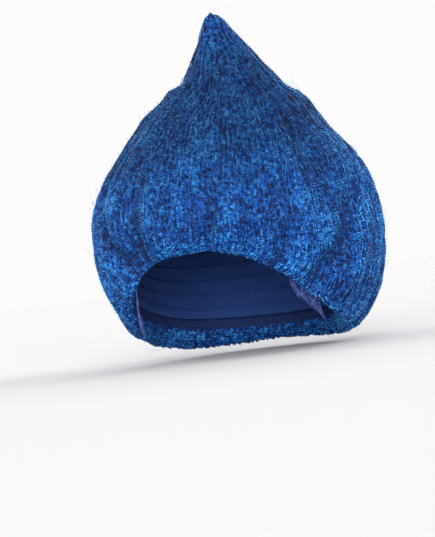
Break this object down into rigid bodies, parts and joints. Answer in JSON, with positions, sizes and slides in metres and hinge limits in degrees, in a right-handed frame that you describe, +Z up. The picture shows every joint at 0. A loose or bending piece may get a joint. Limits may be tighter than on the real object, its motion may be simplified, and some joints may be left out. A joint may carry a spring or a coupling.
{
  "type": "troll wig",
  "caption": "Costume wig of crimped blue hair swept up from the hairline over a stretch net cap into one tall leaning point.",
  "frame": {"origin": "the crown of the hollow inside the cap, where the top of the head meets it", "axes": "+Z up through the head, front of the wig faces -Y, the wearer's left is +X"},
  "size_m": [0.2245, 0.2369, 0.2632],
  "materials": {
    "hair": "crimped synthetic fibre, soft sheen",
    "cap_net": "matt stretch net",
    "edge_band": "matt woven tape",
    "temple_hair": "fine loose fibre"
  },
  "bodies": {
    "root": {"hair_body": "hair", "net_cap": "cap_net", "front_band": "edge_band", "nape_elastic": "edge_band", "temple_hair_left": "temple_hair", "temple_hair_right": "temple_hair"}
  },
  "joints": []
}
